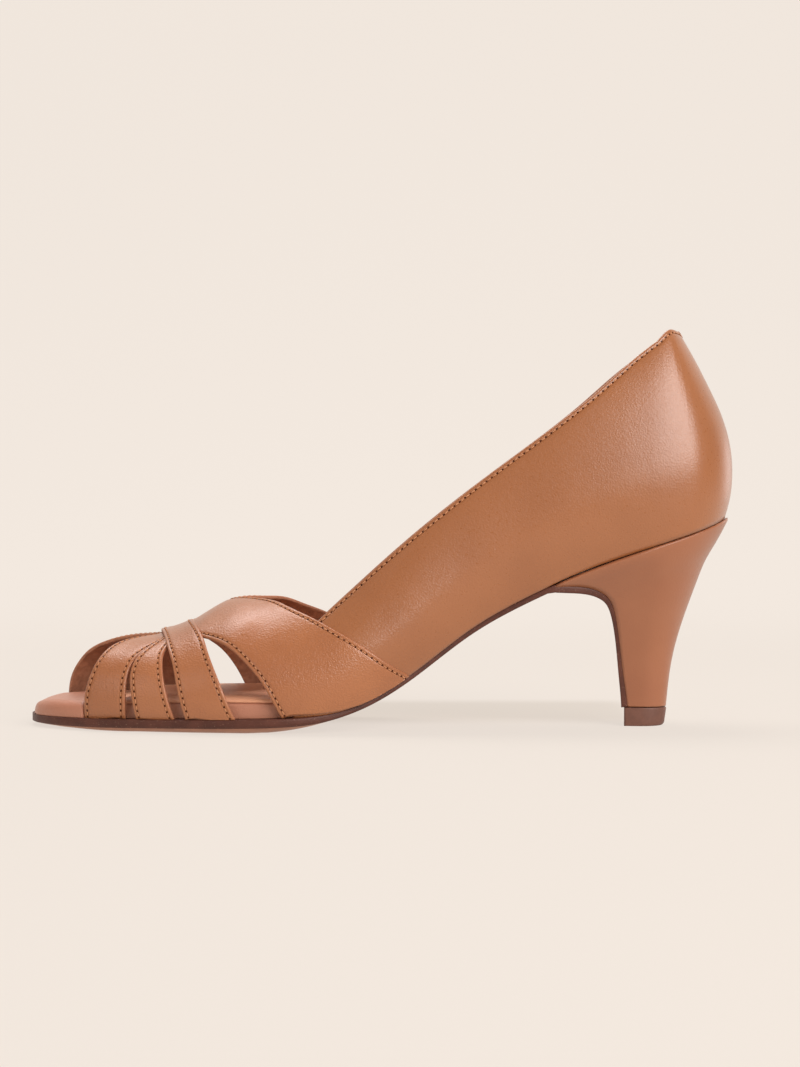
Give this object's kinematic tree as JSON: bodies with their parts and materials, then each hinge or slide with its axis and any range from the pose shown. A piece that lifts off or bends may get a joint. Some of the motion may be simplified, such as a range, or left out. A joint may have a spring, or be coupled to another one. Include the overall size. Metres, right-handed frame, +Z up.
{
  "type": "peep toe pump",
  "caption": "Left peep toe pump of smooth leather with crossing toe straps, side windows and a slender covered heel.",
  "frame": {"origin": "centre of the shoe's footprint, on the floor that it stands on", "axes": "+X from the toe to the heel, +Y to the inner side of the foot, +Z up"},
  "size_m": [0.2336, 0.0792, 0.1313],
  "materials": {
    "upper_leather": "smooth tan leather, semi gloss, fine grain",
    "outsole": "dark brown composition sole, matt edge",
    "footbed_leather": "smooth tan leather, semi gloss",
    "sock_leather": "smooth tan lining leather, soft sheen",
    "heel_leather": "smooth tan leather stretched over a moulded heel",
    "top_piece": "hard brown heel tip, matt"
  },
  "bodies": {
    "root": {"upper": "upper_leather", "back_tab": "upper_leather", "outsole": "outsole", "footbed": "footbed_leather", "sock": "sock_leather", "heel": "heel_leather", "top_piece": "top_piece"}
  },
  "joints": []
}
